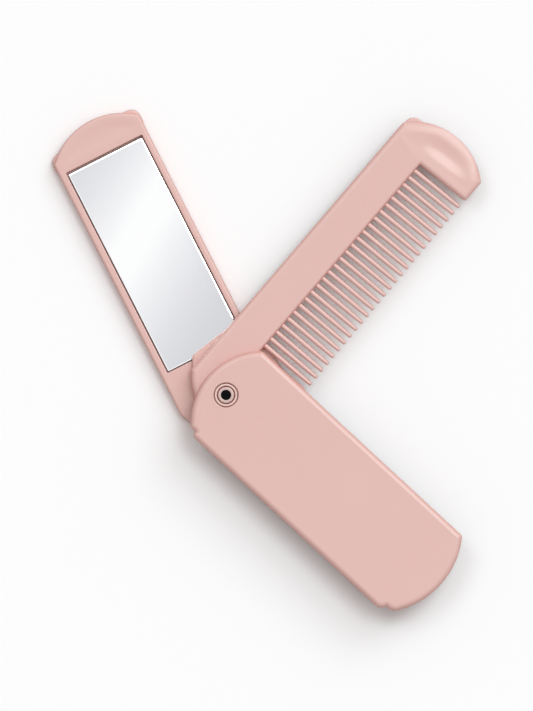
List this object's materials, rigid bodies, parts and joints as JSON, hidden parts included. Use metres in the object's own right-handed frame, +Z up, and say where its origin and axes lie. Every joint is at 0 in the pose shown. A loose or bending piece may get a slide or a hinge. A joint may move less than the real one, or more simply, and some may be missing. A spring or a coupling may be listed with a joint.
{
  "type": "folding pocket mirror with comb",
  "caption": "Folding pocket mirror and comb: a cover, a comb and a framed mirror leaf swing like a fan on one rivet at their ends.",
  "frame": {"origin": "on the pivot axis, in the plane of the mirror leaf's flat underside", "axes": "+Z up along the pivot axis, +X along the front cover away from the pivot"},
  "size_m": [0.1684, 0.1165, 0.0121],
  "materials": {
    "pink_plastic": "satin moulded",
    "silvered_glass": "polished, bevelled edge",
    "foam_tape": "matt",
    "nickel_plate": "satin plated",
    "black_plug": "matt",
    "spring_steel": "as rolled",
    "nylon": "natural"
  },
  "bodies": {
    "mirror_leaf": {"mirror_frame": "pink_plastic", "back_shell": "pink_plastic", "pivot_collar": "pink_plastic", "mirror_glass": "silvered_glass", "mirror_pad": "foam_tape", "pivot_rivet": "nickel_plate", "pivot_plug": "black_plug", "spring_washer": "spring_steel", "rivet_washer": "spring_steel", "slip_washer_lower": "nylon", "slip_washer_middle": "nylon", "slip_washer_upper": "nylon"},
    "cover": {"front_cover": "pink_plastic"},
    "comb": {"comb": "pink_plastic"},
    "spacer": {"spacer_plate": "pink_plastic"}
  },
  "joints": [
    {"name": "cover_swing", "type": "hinge", "parent": "mirror_leaf", "child": "cover", "pos_m": [0, 0, 0.00605], "axis": [0, 0, 1], "range_deg": [-20.3, 159.7]},
    {"name": "comb_swing", "type": "hinge", "parent": "mirror_leaf", "child": "comb", "pos_m": [0, 0, 0.00605], "axis": [0, 0, 1], "range_deg": [-112.5, 67.5]},
    {"name": "spacer_turn", "type": "hinge", "parent": "mirror_leaf", "child": "spacer", "pos_m": [0, 0, 0.00605], "axis": [0, 0, 1], "range_deg": [-100.85, 79.15]}
  ]
}
